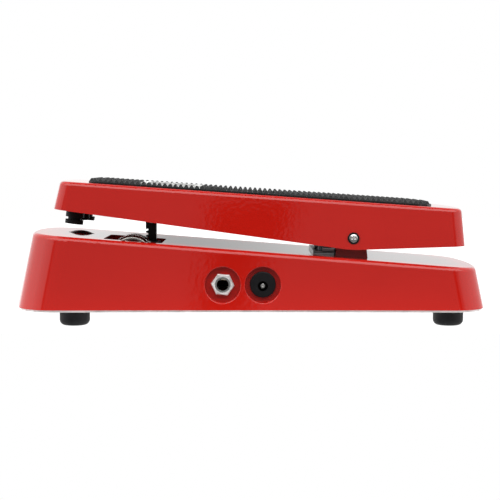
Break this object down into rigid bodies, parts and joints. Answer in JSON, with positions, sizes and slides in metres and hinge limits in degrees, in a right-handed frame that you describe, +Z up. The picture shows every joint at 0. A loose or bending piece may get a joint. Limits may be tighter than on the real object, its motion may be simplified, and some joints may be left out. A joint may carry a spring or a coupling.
{
  "type": "guitar effects pedal",
  "caption": "Rocker-treadle guitar effects pedal: sloping cast base, hinged treadle with studded rubber tread, rack-driven potentiometer, footswitch, side jacks.",
  "frame": {"origin": "middle of the base, on the surface the rubber feet stand on", "axes": "+X from the toe end to the heel end, +Z up, -Y the output-jack side"},
  "size_m": [0.2624, 0.1012, 0.0802],
  "materials": {
    "red_paint": "glossy red paint over die-cast aluminium",
    "black_rubber": "matt black moulded rubber",
    "zinc_steel": "bright zinc-plated steel",
    "nickel": "nickel plating",
    "cast_zinc": "dull die-cast zinc",
    "black_plastic": "black moulded plastic",
    "white_nylon": "natural nylon",
    "board_green": "green solder mask over glass-epoxy board",
    "phenolic": "brown phenolic sheet",
    "brass": "brass",
    "component_red": "dipped coating",
    "resistor_tan": "lacquered resistor body",
    "can_sleeve": "shrunk plastic sleeve",
    "battery_skin": "printed steel jacket, plain",
    "foam": "soft foam",
    "wire_red": "insulated wire",
    "wire_blue": "insulated wire",
    "wire_white": "insulated wire"
  },
  "bodies": {
    "base": {"base_casting": "red_paint", "bottom_plate": "zinc_steel", "rubber_feet": "black_rubber", "foot_screws": "zinc_steel", "pivot_axle": "zinc_steel", "axle_set_screw": "zinc_steel", "axle_spacers": "black_plastic", "tension_bracket": "zinc_steel", "tension_screws": "zinc_steel", "output_jack": "nickel", "input_jack": "nickel", "jack_nuts": "nickel", "jack_washers": "nickel", "jack_insulators": "phenolic", "jack_contacts": "brass", "dc_jack": "black_plastic", "dc_jack_pin": "nickel", "dc_jack_nut": "black_plastic", "dc_jack_lugs": "brass", "circuit_board": "board_green", "board_screws": "zinc_steel", "inductor": "component_red", "electrolytic_capacitors": "can_sleeve", "film_capacitors": "component_red", "resistors": "resistor_tan", "transistors": "black_plastic", "potentiometer_can": "zinc_steel", "potentiometer_bushing": "cast_zinc", "potentiometer_nut": "nickel", "potentiometer_terminals": "brass", "pot_bracket": "zinc_steel", "pot_bracket_screws": "zinc_steel", "rack_guide": "white_nylon", "guide_arm": "zinc_steel", "guide_rivet": "zinc_steel", "footswitch_body": "black_plastic", "footswitch_nut": "nickel", "footswitch_lugs": "brass", "footswitch_spring": "zinc_steel", "switch_bracket": "zinc_steel", "switch_bracket_screws": "zinc_steel", "battery": "battery_skin", "battery_terminals": "nickel", "battery_snap": "black_plastic", "battery_foam": "foam", "battery_leads": "wire_red", "jack_wires": "wire_white", "control_wires": "wire_blue"},
    "treadle": {"treadle_casting": "red_paint", "tread_pad": "black_rubber", "pivot_bushings": "black_plastic", "toe_bumpers": "black_rubber", "switch_striker": "black_rubber", "rack_pin": "zinc_steel", "rack_pin_clips": "zinc_steel"},
    "rack_link": {"rack": "black_plastic"},
    "pinion": {"pinion_gear": "black_plastic", "pot_shaft": "cast_zinc"},
    "switch_plunger": {"footswitch_plunger": "black_plastic"}
  },
  "joints": [
    {"name": "treadle_pivot", "type": "hinge", "parent": "base", "child": "treadle", "pos_m": [0.056, 0, 0.0477], "axis": [0, 1, 0], "range_deg": [-2.1, 10]},
    {"name": "rack_swing", "type": "hinge", "parent": "treadle", "child": "rack_link", "pos_m": [-0.0558, 0, 0.0574], "axis": [0, 1, 0], "range_deg": [-6.5, 2.5]},
    {"name": "pinion_spin", "type": "hinge", "parent": "base", "child": "pinion", "pos_m": [-0.0648, 0, 0.0374], "axis": [0, 1, 0], "range_deg": [-195, 45]},
    {"name": "switch_press", "type": "slide", "parent": "base", "child": "switch_plunger", "axis": [0.0773, 0, 0.997], "range_m": [-0.0018, 0], "stiffness_N_per_m": 2500, "springref_m": 0.003, "deforming": ["footswitch_spring"]}
  ],
  "couplings": [
    {"joint": "rack_swing", "follows": "treadle_pivot", "ratio": -0.5128},
    {"joint": "pinion_spin", "follows": "treadle_pivot", "ratio": -18.808}
  ]
}
